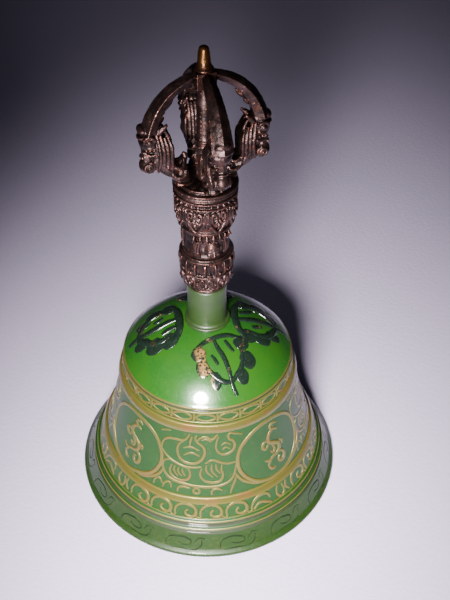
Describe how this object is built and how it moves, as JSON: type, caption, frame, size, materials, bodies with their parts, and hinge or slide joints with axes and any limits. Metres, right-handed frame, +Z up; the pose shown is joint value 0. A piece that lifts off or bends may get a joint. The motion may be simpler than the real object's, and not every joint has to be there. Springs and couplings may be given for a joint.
{
  "type": "tibetan hand bell",
  "caption": "Hand bell with an engraved, enamelled cup, a cast copper-coloured handle that ends in a half-vajra cage, and a hanging clapper.",
  "frame": {"origin": "on the bell's axis, in the plane of the lip on which the bell stands", "axes": "+Z up along the bell's axis to the tip of the handle; the handle's face looks along -Y and the four prongs lie along +X, +Y, -X and -Y"},
  "size_m": [0.09, 0.09, 0.1563],
  "materials": {
    "cup_enamel": "glossy green enamel over brass, engraved in gold lines",
    "neck_enamel": "paler satin green enamel",
    "handle_copper": "antique copper, dark in the hollows and rubbed bright on the ridges",
    "gold_brass": "rubbed gold-coloured brass",
    "fitting_steel": "plain drawn wire and turned steel",
    "clapper_iron": "dark forged iron, polished where the ball strikes"
  },
  "bodies": {
    "root": {"bell_cup": "cup_enamel", "neck_sleeve": "neck_enamel", "handle_vase": "handle_copper", "face_drum": "handle_copper", "lotus_cup": "handle_copper", "outer_prong_1": "handle_copper", "outer_prong_2": "handle_copper", "outer_prong_3": "handle_copper", "outer_prong_4": "handle_copper", "centre_prong": "handle_copper", "tip_spike": "gold_brass", "tie_rod": "fitting_steel", "crown_washer": "fitting_steel", "crown_nut": "fitting_steel"},
    "link": {"clapper_link": "fitting_steel"},
    "clapper": {"clapper_rod": "clapper_iron", "clapper_ball": "clapper_iron"}
  },
  "joints": [
    {"name": "link_twist", "type": "hinge", "parent": "root", "child": "link", "pos_m": [0, 0, 0.04692], "axis": [0, 0, 1], "range_deg": [-35, 35]},
    {"name": "clapper_swing", "type": "hinge", "parent": "link", "child": "clapper", "pos_m": [0, 0, 0.04252], "axis": [0, 1, 0], "range_deg": [-48, 48]}
  ]
}
